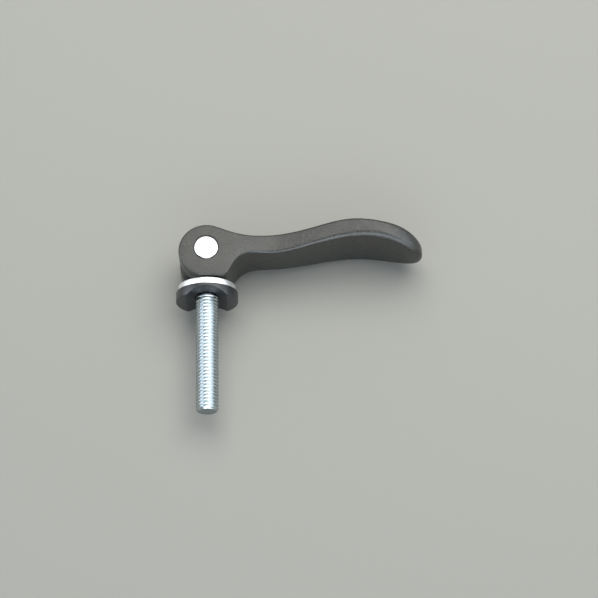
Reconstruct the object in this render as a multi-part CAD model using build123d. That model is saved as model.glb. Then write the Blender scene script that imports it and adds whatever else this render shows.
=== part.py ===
from build123d import *
import os
from math import asin, cos, degrees, radians, sin, sqrt, tan

# A cam lever with a threaded stud, lying on its side.
# Origin: stud axis at the thrust face. +X runs along the handle, -Y down the stud, +Z up.
# Lengths are in millimetres and angles in degrees. The lever is in its closed position.

# Stud and its eye
thread_radius = 4.0          # M8 coarse thread, as a plain cylinder
thread_reach = 40.0          # below the thrust face
thread_chamfer = 0.8
thread_into_dish = 2.0       # thread above the thrust face
shank_radius = 3.55
eye_radius = 6.4
eye_thickness = 8.0
eye_edge = 0.4

# Pivot pin
pin_radius = 4.2
pin_edge = 0.35
pin_running_clearance = 0.05

# Plastic thrust washer
thrust_washer_radius = 10.9
thrust_washer_thickness = 3.7
thrust_washer_edge = 0.6
thrust_washer_top_edge = 0.3
dish_radius = 9.5
dish_floor_radius = 6.4
dish_depth = 2.2

# Steel washer
steel_washer_radius = 10.0
steel_washer_thickness = 2.4
steel_washer_edge = 0.25
washer_bore_clearance = 0.3

# Cam head
cam_radius = 9.65
cam_offset = 1.15            # from the pin down to the centre of the cam
seat_flat_depth = 0.35      # how deep the flat under the closed cam cuts it
cam_gap = 0.5                # play above the steel washer
head_half_width = 10.4
bore_chamfer = 0.45
slot_side_clearance = 0.4
eye_clearance = 0.35
toe_reach = 5.7              # from the pin to the front end of the flat
throat_angle = 56.0          # climb of the throat above +X
throat_round = 8.0
toe_round = 1.0
crown_angle = 78.0           # above +X, where the cam ends

# Handle, from the pin to the tip: lengths between stations
shoulder_reach = 6.5
root_length = 4.5
neck_length = 11.0
rise_length = 14.0
crest_length = 14.0
fall_length = 12.0
tip_length = 13.7
tip_round_length = 5.0

# Handle, heights above the pin's axis
shoulder_top = 6.7
root_top = 5.35
neck_top = 5.05
neck_under = -1.75
rise_top = 7.0
rise_under = 0.3
crest_top = 9.7
crest_under = 2.8
fall_top = 8.25
fall_under = 2.05
tip_top = 3.2
tip_under = -2.6
tip_top_slope = 0.8          # fall of the top line at the tip
tip_under_slope = 0.4        # fall of the underside at the tip

# Handle, half widths
neck_half_width = 8.4
rise_half_width = 10.0
crest_half_width = 11.75
fall_half_width = 12.1
tip_half_width = 8.8

under_bevel = 0.65           # along the underside, the throat and the flat
top_bevel = 0.4              # along the top line and the back of the cam
overrun = 2.0                # how far cutting and blank shapes run past the piece

steel_washer_top = thrust_washer_thickness + steel_washer_thickness
seat_drop = cam_radius + cam_offset - seat_flat_depth
pivot_height = steel_washer_top + cam_gap + seat_drop
cheek_inner = eye_thickness / 2 + eye_clearance
pin_length = 2 * head_half_width
root_x = shoulder_reach + root_length
neck_x = root_x + neck_length
rise_x = neck_x + rise_length
crest_x = rise_x + crest_length
fall_x = crest_x + fall_length
tip_reach = fall_x + tip_length


def disc(radius, bottom, top):
    """A round plate about the stud axis, between two heights along Y."""
    return extrude(Plane.XZ.offset(-bottom) * Circle(radius), bottom - top)


def about_pivot(shape):
    """Put a shape drawn about the pin axis in its place."""
    return Pos(0, pivot_height, 0) * shape


def on_cam(angle):
    """A point of the cam's circle, at an angle from +X."""
    x = cam_radius * cos(radians(angle))
    y = cam_radius * sin(radians(angle)) - cam_offset
    return (x, y)


def lever_outline():
    """Side outline of the lever: cam, seat, throat, underside, tip and top line."""
    seat_half = sqrt(cam_radius**2 - (seat_drop - cam_offset) ** 2)
    seat_angle = degrees(asin((seat_drop - cam_offset) / cam_radius))
    toe = (toe_reach, -seat_drop)
    throat_end = (toe_reach + (neck_under + seat_drop) / tan(radians(throat_angle)), neck_under)
    neck_end = (neck_x, neck_under)
    blank_end = tip_reach + overrun
    blank_under = tip_under - overrun * tip_under_slope
    blank_top = tip_top - overrun * tip_top_slope
    crown = on_cam(crown_angle)
    crown_slope = (sin(radians(crown_angle)), -cos(radians(crown_angle)))

    back = CenterArc((0, -cam_offset), cam_radius, crown_angle, 180 + seat_angle - crown_angle)
    seat = Line((-seat_half, -seat_drop), toe)
    throat = Line(toe, throat_end)
    neck = Line(throat_end, neck_end)
    underside = Spline(
        neck_end,
        (rise_x, rise_under),
        (crest_x, crest_under),
        (fall_x, fall_under),
        (blank_end, blank_under),
        tangents=[(1, 0), (1, -tip_under_slope)],
    )
    end = Line((blank_end, blank_under), (blank_end, blank_top))
    top = Spline(
        (blank_end, blank_top),
        (fall_x, fall_top),
        (crest_x, crest_top),
        (rise_x, rise_top),
        (neck_x, neck_top),
        (root_x, root_top),
        (shoulder_reach, shoulder_top),
        crown,
        tangents=[(-1, tip_top_slope), (-crown_slope[0], -crown_slope[1])],
    )
    outline = make_face(Wire([back, seat, throat, neck, underside, end, top]))
    outline = fillet(outline.vertices().sort_by_distance((*throat_end, 0))[0], throat_round)
    return fillet(outline.vertices().sort_by_distance((*toe, 0))[0], toe_round)


def lever_plan():
    """Outline of the lever seen along the stud: its half widths, mirrored."""
    head_end = (shoulder_reach, head_half_width)
    start = (-cam_radius - overrun, head_half_width)
    side = Spline(
        head_end,
        (neck_x, neck_half_width),
        (rise_x, rise_half_width),
        (crest_x, crest_half_width),
        (fall_x, fall_half_width),
        (tip_reach - tip_round_length, tip_half_width),
        (tip_reach, 0),
        tangents=[(1, 0), (0, -1)],
    )
    upper = [Line(start, head_end), side]
    lower = [edge.mirror(Plane.XZ) for edge in upper]
    back = Line(start, (start[0], -head_half_width))
    return make_face(Wire([*upper, *lower, back]))


def lever():
    """One casting: forked cam head, neck and grip."""
    width = crest_half_width + overrun
    tall = cam_radius + seat_drop + crest_top
    side = extrude(Plane.XY.offset(-width) * lever_outline(), 2 * width)
    plan = extrude(Plane.XZ.offset(-tall) * lever_plan(), 2 * tall)
    body = side & plan

    # each bevel runs on from its first edge, round the tip and back along the far side
    body = chamfer(rim_edge(body, crest_under), under_bevel)
    body = chamfer(rim_edge(body, crest_top), top_bevel)

    back = -cam_radius - overrun
    front = thread_radius + slot_side_clearance
    gap = Pos((back + front) / 2, 0) * Rectangle(front - back, 2 * tall)
    pocket = gap + Circle(eye_radius + eye_clearance)
    slot = extrude(Plane.XY.offset(-cheek_inner) * pocket, 2 * cheek_inner)
    bore = cylinder_along_z(pin_radius, pin_length + overrun)
    mouth = Cone(pin_radius, pin_radius + bore_chamfer, bore_chamfer)
    mouth = Pos(0, 0, head_half_width - bore_chamfer / 2) * mouth
    body = body - slot - bore - mouth - mouth.mirror(Plane.XY)
    return about_pivot(body)


def rim_edge(body, height):
    """The edge of the near side that passes the crest at a height."""
    crest = Vertex(crest_x, height, crest_half_width)
    return min(body.edges(), key=lambda edge: edge.distance_to(crest))


def cylinder_along_z(radius, length):
    """A round bar about the pin axis."""
    return Cylinder(radius, length)


def pivot_pin():
    """Plain steel pin, pressed into both cheeks with its ends flush."""
    pin = cylinder_along_z(pin_radius, pin_length)
    pin = chamfer(pin.edges().filter_by(GeomType.CIRCLE), pin_edge)
    return about_pivot(pin)


def threaded_stud():
    """Stud with an eye at its upper end, which turns on the pivot pin."""
    eye = cylinder_along_z(eye_radius, eye_thickness)
    eye = chamfer(eye.edges().filter_by(GeomType.CIRCLE), eye_edge)
    bore = cylinder_along_z(pin_radius + pin_running_clearance, eye_thickness + overrun)
    shank = disc(shank_radius, thread_into_dish, pivot_height)
    thread = disc(thread_radius, -thread_reach, thread_into_dish)
    free_end = thread.edges().filter_by(GeomType.CIRCLE).sort_by(Axis.Y)[0]
    thread = chamfer(free_end, thread_chamfer)
    return about_pivot(eye) + shank + thread - about_pivot(bore)


def thrust_washer():
    """Plastic washer with a dished underside: only its rim bears."""
    washer = disc(thrust_washer_radius, 0, thrust_washer_thickness)
    rims = washer.edges().filter_by(GeomType.CIRCLE).sort_by(Axis.Y)
    washer = chamfer(rims[0], thrust_washer_edge)
    top_rim = washer.edges().filter_by(GeomType.CIRCLE).sort_by(Axis.Y)[-1]
    washer = chamfer(top_rim, thrust_washer_top_edge)
    bore = disc(thread_radius + washer_bore_clearance, -overrun, thrust_washer_thickness + overrun)
    return washer - dish() - bore


def dish():
    """Hollow of the plastic washer: a flat floor that curves down to the rim."""
    floor = (dish_floor_radius, dish_depth)
    curve = TangentArc(floor, (dish_radius, 0), tangent=(1, 0))
    walls = Polyline(curve @ 1, (0, 0), (0, dish_depth), floor)
    return revolve(make_face(Wire([curve, *walls.edges()])), Axis.Y)


def steel_washer():
    """Flat steel washer under the cam."""
    washer = disc(steel_washer_radius, thrust_washer_thickness, steel_washer_top)
    washer = chamfer(washer.edges().filter_by(GeomType.CIRCLE), steel_washer_edge)
    bore = thread_radius + washer_bore_clearance
    return washer - disc(bore, thrust_washer_thickness - overrun, steel_washer_top + overrun)


def main():
    pieces = {
        "lever": lever(),
        "pivot_pin": pivot_pin(),
        "threaded_stud": threaded_stud(),
        "steel_washer": steel_washer(),
        "thrust_washer": thrust_washer(),
    }
    os.makedirs("parts", exist_ok=True)
    for name, piece in pieces.items():
        piece.label = name
        export_step(piece, f"parts/{name}.step")
        print(f"{name}: {piece.volume / 1000:.3f} cm3")


if __name__ == "__main__":
    main()
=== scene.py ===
from math import acos, cos, pi, radians, sin, sqrt, tan

import bmesh
import bpy
from mathutils import Matrix, Vector


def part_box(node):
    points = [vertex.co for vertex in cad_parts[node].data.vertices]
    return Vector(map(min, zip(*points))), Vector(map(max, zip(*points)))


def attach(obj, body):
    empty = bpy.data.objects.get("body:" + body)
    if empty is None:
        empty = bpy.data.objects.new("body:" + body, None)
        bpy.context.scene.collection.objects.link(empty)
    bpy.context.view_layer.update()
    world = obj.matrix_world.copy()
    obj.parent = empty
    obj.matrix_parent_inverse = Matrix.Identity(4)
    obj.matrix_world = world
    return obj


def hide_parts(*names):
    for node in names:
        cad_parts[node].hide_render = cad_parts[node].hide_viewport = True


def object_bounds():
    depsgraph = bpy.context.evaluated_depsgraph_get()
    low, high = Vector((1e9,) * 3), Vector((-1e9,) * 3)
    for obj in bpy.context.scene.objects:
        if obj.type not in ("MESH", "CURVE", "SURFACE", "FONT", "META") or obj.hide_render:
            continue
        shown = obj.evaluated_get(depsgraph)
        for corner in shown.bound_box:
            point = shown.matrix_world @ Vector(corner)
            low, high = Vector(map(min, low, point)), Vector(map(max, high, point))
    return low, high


# A black cam lever with a threaded stud, lying on its side on a pale table.
# The part's own frame: +X along the handle, -Y down the stud, +Z up from the table.
# Lengths are in metres, apart from the lever's, which are in millimetres until its mesh is done.

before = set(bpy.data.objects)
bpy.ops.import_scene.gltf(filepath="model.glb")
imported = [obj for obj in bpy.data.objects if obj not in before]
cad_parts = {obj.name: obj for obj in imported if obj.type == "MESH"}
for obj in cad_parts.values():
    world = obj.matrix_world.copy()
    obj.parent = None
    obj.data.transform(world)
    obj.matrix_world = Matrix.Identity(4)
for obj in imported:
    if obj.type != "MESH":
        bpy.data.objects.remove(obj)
cad_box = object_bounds()

MM = 0.001


# ---------------------------------------------------------------- camera
PHOTO_PIXELS = 598
SENSOR_WIDTH = 36                   # in millimetres, as a camera counts it
VIEW_TILT = radians(21.2)           # from straight down, towards the stud's end
VIEW_ROLL = radians(-0.8)
VIEW_DISTANCE = 1.0
PIXELS_PER_MM = 2.87
AIM_SHIFT = (32.4 * MM, -18.15 * MM)   # from the pivot pin to the middle of the view, along the image


def add_camera():
    pin_low, pin_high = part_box("pivot_pin")
    pin_end = Vector((0, (pin_low[1] + pin_high[1]) / 2, pin_high[2]))
    data = bpy.data.cameras.new("camera")
    data.sensor_width = SENSOR_WIDTH
    data.lens = PIXELS_PER_MM / MM * VIEW_DISTANCE * SENSOR_WIDTH / PHOTO_PIXELS
    data.clip_start = 0.05
    data.clip_end = 10
    camera = bpy.data.objects.new("camera", data)
    bpy.context.collection.objects.link(camera)
    turn = Matrix.Rotation(VIEW_TILT, 4, "X") @ Matrix.Rotation(VIEW_ROLL, 4, "Z")
    aim = pin_end + turn.to_3x3() @ Vector((*AIM_SHIFT, 0))
    camera.matrix_world = Matrix.Translation(aim) @ turn @ Matrix.Translation((0, 0, VIEW_DISTANCE))
    bpy.context.scene.camera = camera


# ---------------------------------------------------------------- floor
FLOOR_REACH = 4.0                   # from its middle to each side
FLOOR_COLOUR = (0.47, 0.466, 0.436, 1)
FLOOR_ROUGHNESS = 0.9
FLOOR_SPECULAR = 0.1


def add_floor():
    """A pale table that the lever lies on."""
    mesh = bpy.data.meshes.new("floor")
    corners = [(x * FLOOR_REACH, y * FLOOR_REACH, 0) for x, y in ((-1, -1), (1, -1), (1, 1), (-1, 1))]
    mesh.from_pydata(corners, [], [(0, 1, 2, 3)])
    floor = bpy.data.objects.new("floor", mesh)
    bpy.context.collection.objects.link(floor)
    floor.location.z = cad_box[0][2]
    material = bpy.data.materials.new("floor")
    material.use_nodes = True
    shader = material.node_tree.nodes["Principled BSDF"]
    shader.inputs["Base Color"].default_value = FLOOR_COLOUR
    shader.inputs["Roughness"].default_value = FLOOR_ROUGHNESS
    shader.inputs["Specular IOR Level"].default_value = FLOOR_SPECULAR
    mesh.materials.append(material)


# ---------------------------------------------------------------- light
LIGHT_TARGET = (0.03, 0.01, 0)      # near the middle of the lever
ROOM_COLOUR = (0.86, 0.93, 1.0, 1)
ROOM_LEVEL = 0.47
FRONT_TILT = radians(60)            # of the first three cards, from straight up
RIGHT_TILT = radians(53)
LEFT_TILT = radians(66)
# Cards that only metal and gloss mirror, and last a dark back wall. Each is a direction, the cosine at
# its outer edge, the cosine from which it is full, and its brightness.
CARDS = [
    ((0, -sin(FRONT_TILT), cos(FRONT_TILT)), 0.82, 0.97, 3.6),
    ((sin(RIGHT_TILT), 0, cos(RIGHT_TILT)), 0.82, 0.95, 2.6),
    ((-sin(LEFT_TILT), 0, cos(LEFT_TILT)), 0.82, 0.95, 3.0),
    ((0.5, -0.75, 0.43), 0.88, 0.98, 1.6),
    ((0, 0.97, 0.25), 0.5, 0.9, -0.27),
]


def add_area_light(name, place, size, power, colour):
    data = bpy.data.lights.new(name, "AREA")
    data.shape = "RECTANGLE"
    data.size, data.size_y = size
    data.energy = power
    data.color = colour
    light = bpy.data.objects.new(name, data)
    bpy.context.collection.objects.link(light)
    light.location = place
    away = Vector(place) - Vector(LIGHT_TARGET)
    light.rotation_euler = away.to_track_quat("Z", "Y").to_euler()


def add_room():
    """An even, cool room, to which the cards are added for glossy rays alone."""
    world = bpy.data.worlds.new("studio")
    bpy.context.scene.world = world
    world.use_nodes = True
    nodes = world.node_tree.nodes
    links = world.node_tree.links
    direction = nodes.new("ShaderNodeTexCoord").outputs["Generated"]

    def card(towards, start, full, strength):
        facing = nodes.new("ShaderNodeVectorMath")
        facing.operation = "DOT_PRODUCT"
        facing.inputs[1].default_value = towards
        links.new(direction, facing.inputs[0])
        edge = nodes.new("ShaderNodeMapRange")
        edge.interpolation_type = "SMOOTHSTEP"
        edge.inputs["From Min"].default_value = start
        edge.inputs["From Max"].default_value = full
        edge.inputs["To Max"].default_value = strength
        links.new(facing.outputs["Value"], edge.inputs["Value"])
        return edge.outputs["Result"]

    cards = card(*CARDS[0])
    for towards, start, full, strength in CARDS[1:]:
        total = nodes.new("ShaderNodeMath")
        total.operation = "ADD"
        links.new(cards, total.inputs[0])
        links.new(card(towards, start, full, strength), total.inputs[1])
        cards = total.outputs["Value"]
    level = nodes.new("ShaderNodeMath")
    level.operation = "MULTIPLY_ADD"
    links.new(nodes.new("ShaderNodeLightPath").outputs["Is Glossy Ray"], level.inputs[0])
    links.new(cards, level.inputs[1])
    level.inputs[2].default_value = ROOM_LEVEL
    background = nodes["Background"]
    background.inputs["Color"].default_value = ROOM_COLOUR
    links.new(level.outputs["Value"], background.inputs["Strength"])


def add_lights():
    """A wide softbox above and behind, a weak fill in front, and the room."""
    add_area_light("softbox", (0.16, 0.38, 0.85), size=(1.1, 0.8), power=7.6, colour=(1.0, 0.985, 0.92))
    add_area_light("front", (0.1, -0.75, 0.62), size=(0.9, 0.35), power=0.75, colour=(0.8, 0.9, 1.0))
    add_room()


# ---------------------------------------------------------------- materials
NOISE_LOW = 0.3                     # noise values between which colour and roughness change
NOISE_HIGH = 0.7
PATCH = 9                           # size of the patches of roughness, in grains
RING_SPACING = 0.314                # of a wave texture's rings at scale 1


def finish(name, dark, light, grain, roughness, bump, metallic=0.0, specular=0.5, edge=1.0, rings=None):
    """A procedural finish: two colours, grain in mm, low and high roughness, bump depth in mm.

    edge is how bright it is at a glancing angle, and rings are turned marks as (axis, spacing in mm).
    """
    material = bpy.data.materials.new(name)
    material.use_nodes = True
    nodes = material.node_tree.nodes
    links = material.node_tree.links
    shader = nodes["Principled BSDF"]
    shader.inputs["Metallic"].default_value = metallic
    shader.inputs["Specular IOR Level"].default_value = specular
    shader.inputs["Specular Tint"].default_value = (edge, edge, edge, 1)
    place = nodes.new("ShaderNodeTexCoord").outputs["Object"]

    def noise(size, detail):
        texture = nodes.new("ShaderNodeTexNoise")
        texture.inputs["Scale"].default_value = 1 / (size * MM)
        texture.inputs["Detail"].default_value = detail
        links.new(place, texture.inputs["Vector"])
        return texture.outputs["Fac"]

    grains = noise(grain, 2)
    ramp = nodes.new("ShaderNodeValToRGB")
    for element, position, colour in zip(ramp.color_ramp.elements, (NOISE_LOW, NOISE_HIGH), (dark, light)):
        element.position = position
        element.color = (*colour, 1)
    links.new(grains, ramp.inputs["Fac"])
    links.new(ramp.outputs["Color"], shader.inputs["Base Color"])

    dullness = nodes.new("ShaderNodeMapRange")
    dullness.inputs["From Min"].default_value = NOISE_LOW
    dullness.inputs["From Max"].default_value = NOISE_HIGH
    dullness.inputs["To Min"].default_value = roughness[0]
    dullness.inputs["To Max"].default_value = roughness[1]
    links.new(noise(PATCH * grain, 3), dullness.inputs["Value"])
    links.new(dullness.outputs["Result"], shader.inputs["Roughness"])

    height = grains
    if rings:
        axis, spacing = rings
        marks = nodes.new("ShaderNodeTexWave")
        marks.wave_type = "RINGS"
        marks.rings_direction = axis
        marks.inputs["Scale"].default_value = RING_SPACING / (spacing * MM)
        marks.inputs["Distortion"].default_value = 0.2
        links.new(place, marks.inputs["Vector"])
        height = marks.outputs["Fac"]
    relief = nodes.new("ShaderNodeBump")
    relief.inputs["Distance"].default_value = bump * MM
    relief.inputs["Strength"].default_value = 1.0
    links.new(height, relief.inputs["Height"])
    links.new(relief.outputs["Normal"], shader.inputs["Normal"])
    return material


def powder_coat():
    return finish("powder_coat", (0.022, 0.023, 0.022), (0.056, 0.056, 0.049),
                  grain=0.45, roughness=(0.27, 0.38), bump=0.125, specular=0.62)


def pin_steel():
    return finish("pin_steel", (0.80, 0.80, 0.79), (0.86, 0.86, 0.85),
                  grain=0.3, roughness=(0.2, 0.3), bump=0.002, metallic=1.0, rings=("Z", 0.5))


def zinc_plate():
    return finish("zinc_plate", (0.47, 0.525, 0.55), (0.58, 0.635, 0.66),
                  grain=0.25, roughness=(0.2, 0.3), bump=0.01, metallic=1.0, edge=0.45)


def washer_steel():
    return finish("washer_steel", (0.87, 0.87, 0.87), (0.94, 0.94, 0.93),
                  grain=0.3, roughness=(0.36, 0.48), bump=0.008, metallic=0.9, rings=("Y", 0.3))


def black_plastic():
    return finish("black_plastic", (0.027, 0.028, 0.031), (0.038, 0.039, 0.043),
                  grain=0.5, roughness=(0.28, 0.38), bump=0.008, specular=0.6)


# ---------------------------------------------------------------- meshes
ROUND_STEPS = 5                     # along a rounded edge of a turned piece
TURN_STEPS = 96                     # around a turned piece
SHARP_ANGLE = radians(35)           # edges sharper than this aren't shaded smooth


def mesh_object(name, bm):
    """A new object that takes over a bmesh."""
    mesh = bpy.data.meshes.new(name)
    bm.normal_update()
    bm.to_mesh(mesh)
    bm.free()
    piece = bpy.data.objects.new(name, mesh)
    bpy.context.collection.objects.link(piece)
    return piece


def turned(outline, steps=TURN_STEPS):
    """Closed bmesh turned about Y from points of (radius, y); it ends on the axis or on its first point."""
    bm = bmesh.new()
    rings = []
    for radius, y in outline:
        if radius == 0:
            rings.append([bm.verts.new((0, y, 0))] * steps)
            continue
        turn = [2 * pi * i / steps for i in range(steps)]
        rings.append([bm.verts.new((radius * sin(t), y, radius * cos(t))) for t in turn])
    if outline[0][0] != 0:
        rings.append(rings[0])
    for low, high in zip(rings, rings[1:]):
        for i in range(steps):
            j = (i + 1) % steps
            corners = []
            for vert in (low[i], low[j], high[j], high[i]):
                if vert not in corners:
                    corners.append(vert)
            if len(corners) > 2:
                bm.faces.new(corners)
    bmesh.ops.recalc_face_normals(bm, faces=bm.faces)
    return bm


def turned_about_z(outline, steps=TURN_STEPS):
    """Closed bmesh turned about Z from points of (radius, height)."""
    bm = turned(outline, steps)
    bmesh.ops.transform(bm, matrix=Matrix.Rotation(radians(90), 4, "X"), verts=bm.verts)
    bmesh.ops.recalc_face_normals(bm, faces=bm.faces)
    return bm


def prism(section, half_length):
    """Closed bmesh with a section of (x, y) points, equally far both ways along Z."""
    bm = bmesh.new()
    ends = [[bm.verts.new((x, y, z)) for x, y in section] for z in (-half_length, half_length)]
    bm.faces.new(ends[0])
    bm.faces.new(ends[1][::-1])
    for k in range(len(section)):
        bm.faces.new((ends[0][k - 1], ends[0][k], ends[1][k], ends[1][k - 1]))
    bmesh.ops.recalc_face_normals(bm, faces=bm.faces)
    return bm


def outer_round(x, y, radius, side):
    """Quarter round in an outer corner of a section, going up: side is -1 at the bottom, 1 at the top."""
    start = -90 if side < 0 else 0
    angles = [radians(start + 90 * k / ROUND_STEPS) for k in range(ROUND_STEPS + 1)]
    return [(x - radius + radius * cos(a), y - side * radius + radius * sin(a)) for a in angles]


def combine(target, tool, operation):
    """Apply a boolean of another object to this one, and delete the other."""
    modifier = target.modifiers.new("combine", "BOOLEAN")
    modifier.operation = operation
    modifier.solver = "EXACT"
    modifier.object = tool
    graph = bpy.context.evaluated_depsgraph_get()
    mesh = bpy.data.meshes.new_from_object(target.evaluated_get(graph))
    target.modifiers.clear()
    target.data = mesh
    bpy.data.objects.remove(tool)


def finish_piece(piece, material, node, body):
    """Dress a piece that stands for a CAD node."""
    piece.data.shade_smooth()
    piece.data.set_sharp_from_angle(angle=SHARP_ANGLE)
    piece.data.materials.clear()
    piece.data.materials.append(material)
    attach(piece, body)
    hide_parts(node)


# ---------------------------------------------------------------- lever, in millimetres and degrees
CAM_RADIUS = 9.65
CAM_CENTRE = (0.0, -1.15)
CROWN_ANGLE = 78.0                  # on the cam, from +X: where the handle's top line leaves it
SEAT_ANGLE = 254.5                  # on the cam: where the flat seat cuts it
SEAT = -10.45
TOE = 6.9
TOE_ROUND = 2.4
THROAT_ANGLE = 60.0
THROAT_ROUND = 8.0
SHOULDER = 6.5
NECK = 22.0
NECK_LEVEL = -1.75
TIP = 75.7

# Lines along the handle, as (distance from the pin, height, half width or radius).
TOP_LINE = [(SHOULDER, 6.7), (11, 5.35), (NECK, 5.05), (36, 7.0), (50, 9.7), (62, 8.4), (TIP, 3.2)]
UNDERSIDE = [(NECK, NECK_LEVEL), (36, 0.3), (50, 2.8), (62, 2.05), (TIP, -2.6)]
HALF_WIDTH = [(SHOULDER, 10.4), (NECK, 8.4), (36, 10.0), (50, 11.75), (62, 12.1), (70.7, 8.8), (TIP, 0)]
TOP_ROUND = [(-10, 0.7), (NECK, 0.8), (50, 1.0), (64, 1.1), (TIP, 1.8)]
UNDER_ROUND = [(-10, 0.35), (6, 0.5), (14, 0.8), (NECK, 1.0), (36, 1.45), (50, 2.0), (64, 2.5), (TIP, 2.6)]

SLOT_HALF = 4.35                    # slot for the stud's eye
SLOT_FRONT = 4.4
SLOT_REACH = 15.0                   # past the head's top and bottom
POCKET_RADIUS = 6.75                # round end of the slot, about the pin
MOUTH = 0.42                        # width of the recess round the pin's ends
MOUTH_WALL = 0.35                   # its depth at the outside
MOUTH_FLOOR = 0.55                  # its depth at the pin
MOUTH_DRAFT = 0.06
OVERRUN = 1.0                       # of a cut past what it cuts

# Steps of the mesh, each along one stretch of an outline.
RIM_STEPS = 6
BACK_STEPS = 40
TOE_STEPS = 5
CLIMB_STEPS = 4
THROAT_STEPS = 8
RUN_STEPS = 5
HANDLE_STEPS = 44
TIP_STEPS = 28
TIP_RUN = 9.0                       # length of handle with closer stations, at the tip
CAP_STATIONS = (5.4, 4.2, 3.0)      # on the top line, between the throat and the crown
CLIMB_START = 0.4                   # from the toe's round to the first point of the climb
SLOPE_SWEEPS = 60                   # after which a curve's slopes have settled


def curve(points, start_slope, end_slope):
    """A smooth function of x through points, with given slopes at its two ends."""
    xs = [x for x, y in points]
    ys = [y for x, y in points]
    slopes = [start_slope] + [0.0] * (len(points) - 2) + [end_slope]
    for _ in range(SLOPE_SWEEPS):
        for i in range(1, len(points) - 1):
            before = xs[i] - xs[i - 1]
            after = xs[i + 1] - xs[i]
            rise = after * (ys[i] - ys[i - 1]) / before + before * (ys[i + 1] - ys[i]) / after
            slopes[i] = (3 * rise - after * slopes[i - 1] - before * slopes[i + 1]) / (2 * (before + after))

    def value(x):
        x = min(max(x, xs[0]), xs[-1])
        i = max(k for k in range(len(xs) - 1) if x >= xs[k])
        length = xs[i + 1] - xs[i]
        t = (x - xs[i]) / length
        level = ys[i] * (1 + 2 * t) * (1 - t) ** 2 + ys[i + 1] * t * t * (3 - 2 * t)
        return level + length * (slopes[i] * t * (1 - t) ** 2 - slopes[i + 1] * t * t * (1 - t))

    return value


def on_cam(angle):
    """A point of the cam's circle, at an angle from +X."""
    x = CAM_CENTRE[0] + CAM_RADIUS * cos(radians(angle))
    y = CAM_CENTRE[1] + CAM_RADIUS * sin(radians(angle))
    return (x, y)


top_line = curve([on_cam(CROWN_ANGLE)] + TOP_LINE, start_slope=-1 / tan(radians(CROWN_ANGLE)), end_slope=-0.8)
underside = curve(UNDERSIDE, start_slope=0, end_slope=-0.4)
width_squared = curve([(x, w * w) for x, w in HALF_WIDTH], start_slope=0, end_slope=-19)
top_round = curve(TOP_ROUND, start_slope=0, end_slope=0)
under_round = curve(UNDER_ROUND, start_slope=0, end_slope=0)


def half_width(x):
    """Half the width; its curve holds the square, so that the tip comes out round."""
    return sqrt(max(width_squared(x), 0))


def mix(a, b, share):
    """The point at a share of the way from a to b."""
    return tuple(p + (q - p) * share for p, q in zip(a, b))


def rim(radius):
    """A quarter round as (distance in from the side, distance in from the face)."""
    angles = [pi / 2 * k / RIM_STEPS for k in range(RIM_STEPS + 1)]
    return [(radius * (1 - sin(a)), radius * (1 - cos(a))) for a in angles]


def throat():
    """The rounded toe's points, and those that climb from it to the neck."""
    lean = radians(THROAT_ANGLE)
    toe_centre = (TOE - TOE_ROUND * tan(lean / 2), SEAT + TOE_ROUND)
    toe = []
    for k in range(TOE_STEPS + 1):
        turn = lean * k / TOE_STEPS - pi / 2
        toe.append((toe_centre[0] + TOE_ROUND * cos(turn), toe_centre[1] + TOE_ROUND * sin(turn)))
    corner = TOE + (NECK_LEVEL - SEAT) / tan(lean)
    centre = (corner + THROAT_ROUND * tan(lean / 2), NECK_LEVEL - THROAT_ROUND)
    bend = []
    for k in range(THROAT_STEPS + 1):
        turn = pi / 2 + lean * (1 - k / THROAT_STEPS)
        bend.append((centre[0] + THROAT_ROUND * cos(turn), centre[1] + THROAT_ROUND * sin(turn)))
    start = (toe[-1][0] + CLIMB_START, toe[-1][1] + CLIMB_START * tan(lean))
    climb = [mix(start, bend[0], k / CLIMB_STEPS) for k in range(CLIMB_STEPS)]
    run = [mix(bend[-1], (NECK, NECK_LEVEL), k / RUN_STEPS) for k in range(1, RUN_STEPS + 1)]
    return toe, climb + bend + run


def handle_stations():
    """Distances from the pin, closer together towards the rounded tip."""
    even = [NECK + (TIP - TIP_RUN - NECK) * k / HANDLE_STEPS for k in range(HANDLE_STEPS)]
    return even + [TIP - TIP_RUN * (1 - k / TIP_STEPS) ** 2 for k in range(TIP_STEPS + 1)]


def handle_ring(x):
    """Section of the handle where the side passes x: near side from the top down, then the far side."""
    step = 0.01
    ahead = min(x + step, TIP)
    behind = x - step
    along = Vector((ahead - behind, half_width(ahead) - half_width(behind))).normalized()
    outward = Vector((-along.y, along.x)) if x < TIP else Vector((1, 0))
    side = Vector((x, half_width(x)))
    near = []
    for inward, drop in rim(top_round(x)):
        place = side - outward * inward
        near.append((place.x, top_line(place.x) - drop, max(place.y, 0)))
    for inward, rise in reversed(rim(under_round(x))):
        place = side - outward * inward
        near.append((place.x, underside(place.x) + rise, max(place.y, 0)))
    far = [(px, py, -pz) for px, py, pz in reversed(near)]
    return near + far


def head_rim(points, radii):
    """Rim points beside an outline: for each place on it, from the face round to the side."""
    rows = []
    for i in range(1, len(points) - 1):
        along = (Vector(points[i + 1]) - Vector(points[i - 1])).normalized()
        outward = Vector((along.y, -along.x))
        row = []
        for inward, drop in rim(radii[i]):
            place = Vector(points[i]) - outward * drop
            row.append((place.x, place.y, half_width(place.x) - inward))
        rows.append(row)
    return rows


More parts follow.
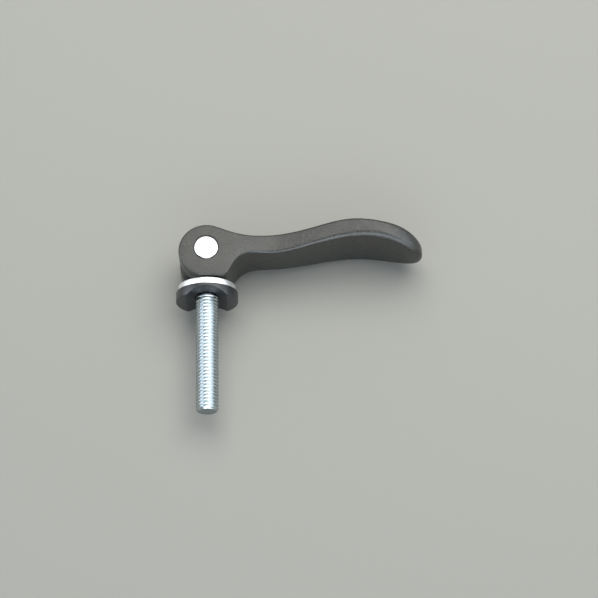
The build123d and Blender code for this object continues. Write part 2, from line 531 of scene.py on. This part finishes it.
def head_rows():
    """The near rim round the head from the neck's top to its underside, and the number of throat points."""
    toe, under = throat()
    over = [(x, top_line(x)) for x, y in reversed(under)]
    cap = [(x, top_line(x)) for x in CAP_STATIONS]
    back_turn = SEAT_ANGLE - CROWN_ANGLE
    back = [on_cam(CROWN_ANGLE + back_turn * k / BACK_STEPS) for k in range(BACK_STEPS + 1)]
    seat_half = sqrt(CAM_RADIUS**2 - (SEAT - CAM_CENTRE[1]) ** 2)
    seat = [(-seat_half, SEAT), (TOE / 2, SEAT)]
    upper = over + cap + back
    lower = seat + toe + under
    radii = [top_round(0)] * len(upper) + [under_round(x) for x, y in lower]
    return head_rim(upper + lower, radii), len(under)


def lever_body():
    """The whole casting without its slot and bore."""
    bm = bmesh.new()

    def add(points):
        return [bm.verts.new((x, y, z)) for x, y, z in points]

    def strip(first, second):
        for a, b, c, d in zip(first, second, second[1:], first[1:]):
            bm.faces.new((a, b, c, d))

    rings = [add(handle_ring(x)) for x in handle_stations()]
    for ring, following in zip(rings, rings[1:]):
        strip(ring + ring[:1], following + following[:1])

    # The head's rows start and end on the quarters of the handle's first ring.
    rows, throat_count = head_rows()
    near = [add(row) for row in rows]
    far = [add([(x, y, -z) for x, y, z in row]) for row in rows]
    quarter = RIM_STEPS + 1
    first = rings[0]
    near = [first[:quarter]] + near + [first[2 * quarter - 1:quarter - 1:-1]]
    far = [first[:-quarter - 1:-1]] + far + [first[2 * quarter:3 * quarter]]
    for side in (near, far):
        for row, following in zip(side, side[1:]):
            strip(row, following)
    for i in range(len(near) - 1):
        bm.faces.new((near[i][0], near[i + 1][0], far[i + 1][0], far[i][0]))

    # Each cheek: quads between the top line and the throat, and one face for the round head.
    for side in (near, far):
        for i in range(throat_count - 1):
            bm.faces.new((side[i][-1], side[i + 1][-1], side[-i - 2][-1], side[-i - 1][-1]))
        bm.faces.new([row[-1] for row in side[throat_count - 1:len(side) - throat_count + 1]])
    bmesh.ops.remove_doubles(bm, verts=bm.verts, dist=1e-4)
    bmesh.ops.dissolve_degenerate(bm, edges=bm.edges, dist=1e-5)
    bmesh.ops.recalc_face_normals(bm, faces=bm.faces)
    return bm


def add_lever(material):
    """The casting with its slot for the stud's eye and its bore for the pin."""
    pin_low, pin_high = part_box("pivot_pin")
    pivot = (pin_low[1] + pin_high[1]) / 2 / MM
    bore = (pin_high[1] - pin_low[1]) / 2 / MM
    face = HALF_WIDTH[0][1]
    lever = mesh_object("lever_casting", lever_body())

    back = -CAM_RADIUS - 2 * OVERRUN
    slot = [(back, -SLOT_REACH), (SLOT_FRONT, -SLOT_REACH), (SLOT_FRONT, SLOT_REACH), (back, SLOT_REACH)]
    combine(lever, mesh_object("slot", prism(slot, SLOT_HALF)), "DIFFERENCE")
    pocket = [(0, -SLOT_HALF), (POCKET_RADIUS, -SLOT_HALF), (POCKET_RADIUS, SLOT_HALF), (0, SLOT_HALF)]
    combine(lever, mesh_object("pocket", turned_about_z(pocket)), "DIFFERENCE")

    mouth = bore + MOUTH
    drill = [(0, -face - OVERRUN), (mouth, -face - OVERRUN)]
    drill += [(mouth - MOUTH_DRAFT, MOUTH_WALL - face), (bore, MOUTH_FLOOR - face)]
    drill += [(radius, -z) for radius, z in reversed(drill)]
    combine(lever, mesh_object("drill", turned_about_z(drill)), "DIFFERENCE")
    lever.data.transform(Matrix.Scale(MM, 4) @ Matrix.Translation((0, pivot, 0)))
    finish_piece(lever, material, "lever", "lever")


# ---------------------------------------------------------------- pin
PIN_STEPS = 64
PIN_EDGE = 0.4 * MM
PIN_DOME = [(0, 0), (0.5, 0.01 * MM), (0.8, 0.04 * MM)]   # (share of the radius, drop from the end)
PIN_RIM_DROP = 0.06 * MM


def add_pin(material):
    """The pivot pin, with slightly rounded rims and faintly domed ends."""
    low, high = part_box("pivot_pin")
    radius = (high[1] - low[1]) / 2
    end = high[2]
    upper = [(radius * share, end - drop) for share, drop in PIN_DOME]
    upper += reversed(outer_round(radius, end - PIN_RIM_DROP, PIN_EDGE, 1))
    outline = upper + [(r, -z) for r, z in reversed(upper)]
    pin = mesh_object("pivot_pin_turned", turned_about_z(outline, PIN_STEPS))
    pin.location.y = (high[1] + low[1]) / 2
    finish_piece(pin, material, "pivot_pin", "lever")


# ---------------------------------------------------------------- stud
THREAD_PITCH = 1.25 * MM
THREAD_CREST = 3.95 * MM
THREAD_ROOT = 3.25 * MM
THREAD_STEPS = 48                   # around one turn
THREAD_TOP = 2.0 * MM               # above the plastic washer's bearing face
ENVELOPE_GAP = 0.05 * MM            # from the crest out to what trims the thread's two ends
COLLAR = 1.1 * MM                   # plain flare where the thread runs out
COLLAR_EDGE = 0.1 * MM
END_CHAMFER = 0.75 * MM
SHANK_RADIUS = 3.55 * MM
SHANK_OVERLAP = 1.0 * MM            # into the thread's core
EYE_CLEARANCE = 0.05 * MM
EYE_EDGE = 0.4 * MM


def thread_profile():
    """One pitch of the thread as (share of the pitch, radius): root, flank, crest, flank."""
    return [
        (0.00, THREAD_ROOT),
        (0.06, THREAD_ROOT + 0.02 * MM),
        (0.12, THREAD_ROOT + 0.09 * MM),
        (0.46, THREAD_CREST - 0.06 * MM),
        (0.50, THREAD_CREST - 0.01 * MM),
        (0.56, THREAD_CREST),
        (0.62, THREAD_CREST - 0.01 * MM),
        (0.66, THREAD_CREST - 0.06 * MM),
        (0.94, THREAD_ROOT + 0.02 * MM),
    ]


def thread_blank(low, high):
    """A right-handed thread about Y that runs past both heights, closed at its ends."""
    profile = thread_profile()
    last = len(profile)
    turns = int((high - low) / THREAD_PITCH) + 3
    end = (turns - 1) * THREAD_STEPS - 1
    bm = bmesh.new()
    verts = {}
    for k in range(turns * THREAD_STEPS + 1):
        angle = 2 * pi * k / THREAD_STEPS
        start = low - 2 * THREAD_PITCH + THREAD_PITCH * k / THREAD_STEPS
        for j, (share, radius) in enumerate(profile):
            y = start + share * THREAD_PITCH
            verts[k, j] = bm.verts.new((radius * sin(angle), y, radius * cos(angle)))
    for k in range(end + 1):
        verts[k, last] = verts[k + THREAD_STEPS, 0]
    for k in range(end):
        for j in range(last):
            bm.faces.new((verts[k, j], verts[k + 1, j], verts[k + 1, j + 1], verts[k, j + 1]))
    lower = [verts[k, 0] for k in range(THREAD_STEPS + 1)] + [verts[0, j] for j in range(last - 1, 0, -1)]
    upper = [verts[end, j] for j in range(last + 1)]
    upper += [verts[k, 0] for k in range(end + THREAD_STEPS - 1, end, -1)]
    for loop in (lower, upper):
        middle = sum(vert.co.y for vert in loop) / len(loop)
        centre = bm.verts.new((0, middle, 0))
        for a, b in zip(loop, loop[1:] + loop[:1]):
            bm.faces.new((a, b, centre))
    loose = [vert for vert in bm.verts if not vert.link_faces]
    bmesh.ops.delete(bm, geom=loose, context="VERTS")
    bmesh.ops.recalc_face_normals(bm, faces=bm.faces)
    return bm


def add_stud(material):
    """The stud with its thread, shank and eye, in one mesh."""
    low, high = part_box("threaded_stud")
    pin_low, pin_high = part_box("pivot_pin")
    end = low[1]
    top = THREAD_TOP
    pivot = (pin_low[1] + pin_high[1]) / 2
    bore = (pin_high[1] - pin_low[1]) / 2 + EYE_CLEARANCE
    stud = mesh_object("stud_with_thread", thread_blank(end, top))
    limit = THREAD_CREST + ENVELOPE_GAP
    envelope = [(0, end), (limit - END_CHAMFER, end), (limit, end + END_CHAMFER), (limit, top), (0, top)]
    combine(stud, mesh_object("envelope", turned(envelope)), "INTERSECT")
    collar = [(0, top - COLLAR), (THREAD_ROOT, top - COLLAR), (THREAD_CREST, top - COLLAR / 3)]
    collar += [(THREAD_CREST, top - COLLAR_EDGE), (THREAD_CREST - COLLAR_EDGE, top), (0, top)]
    combine(stud, mesh_object("collar", turned(collar)), "UNION")

    eye_radius = high[1] - pivot
    half = high[2]
    section = [(bore, -half), (eye_radius - EYE_EDGE, -half), (eye_radius, EYE_EDGE - half)]
    section += [(eye_radius, half - EYE_EDGE), (eye_radius - EYE_EDGE, half), (bore, half)]
    eye = turned_about_z(section)
    bmesh.ops.translate(eye, vec=(0, pivot, 0), verts=eye.verts)
    foot = top - SHANK_OVERLAP
    head = pivot - (bore + eye_radius) / 2
    shank = [(0, foot), (SHANK_RADIUS, foot), (SHANK_RADIUS, head), (0, head)]
    combine(stud, mesh_object("shank", turned(shank)), "UNION")
    combine(stud, mesh_object("eye", eye), "UNION")
    finish_piece(stud, material, "threaded_stud", "stud")


# ---------------------------------------------------------------- washers
WASHER_STEPS = 128
WASHER_BORE = 4.3 * MM
SEAM = 0.01 * MM                    # left between the two washers
STEEL_EDGE = 0.3 * MM
PLASTIC_LOWER_EDGE = 0.5 * MM
PLASTIC_UPPER_EDGE = 0.35 * MM
HOLLOW_RADIUS = 10.0 * MM           # across the plastic washer's underside
HOLLOW_DEPTH = 2.8 * MM
HOLLOW_STEPS = 20                   # from its lip to its middle
HOLLOW_OVERRUN = 2.0 * MM           # of its cut, past the washer's rim and underside
LIP = 1.0 * MM                      # rounding of the hollow's long edges


def washer_outline(radius, bottom, top, lower_edge, upper_edge):
    """Section of a washer with rounded rims, from the bore's lower end round to its upper one."""
    outline = [(WASHER_BORE, bottom)]
    outline += outer_round(radius, bottom, lower_edge, -1)
    outline += outer_round(radius, top, upper_edge, 1)
    return outline + [(WASHER_BORE, top)]


def add_steel_washer(material):
    low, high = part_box("steel_washer")
    outline = washer_outline(high[0], low[1] + SEAM, high[1], STEEL_EDGE, STEEL_EDGE)
    washer = mesh_object("steel_washer_turned", turned(outline, WASHER_STEPS))
    finish_piece(washer, material, "steel_washer", "steel_washer")


def hollow_section(top):
    """Section of the hollow across the plastic washer: an arc near the cam's, with rounded lips."""
    centre = top - HOLLOW_RADIUS
    reach = sqrt((HOLLOW_RADIUS + LIP) ** 2 - (LIP - centre) ** 2)
    lean = acos((LIP - centre) / (HOLLOW_RADIUS + LIP))
    right = [(reach, -HOLLOW_OVERRUN)]
    for k in range(ROUND_STEPS + 1):
        turn = lean * k / ROUND_STEPS
        right.append((reach - LIP * sin(turn), LIP - LIP * cos(turn)))
    for k in range(1, HOLLOW_STEPS + 1):
        turn = lean * (1 - k / HOLLOW_STEPS)
        right.append((HOLLOW_RADIUS * sin(turn), centre + HOLLOW_RADIUS * cos(turn)))
    return right + [(-x, y) for x, y in reversed(right[:-1])]


def add_thrust_washer(material):
    """The plastic washer, with a hollow straight across its underside, along the pin's direction."""
    low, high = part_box("thrust_washer")
    outline = washer_outline(high[0], low[1], high[1], PLASTIC_LOWER_EDGE, PLASTIC_UPPER_EDGE)
    washer = mesh_object("thrust_washer_turned", turned(outline, WASHER_STEPS))
    hollow = prism(hollow_section(low[1] + HOLLOW_DEPTH), high[0] + HOLLOW_OVERRUN)
    combine(washer, mesh_object("hollow", hollow), "DIFFERENCE")
    finish_piece(washer, material, "thrust_washer", "thrust_washer")


def main():
    add_camera()
    add_floor()
    add_lights()
    add_lever(powder_coat())
    add_pin(pin_steel())
    add_stud(zinc_plate())
    add_steel_washer(washer_steel())
    add_thrust_washer(black_plastic())
    bpy.context.scene.view_settings.view_transform = "Standard"


main()
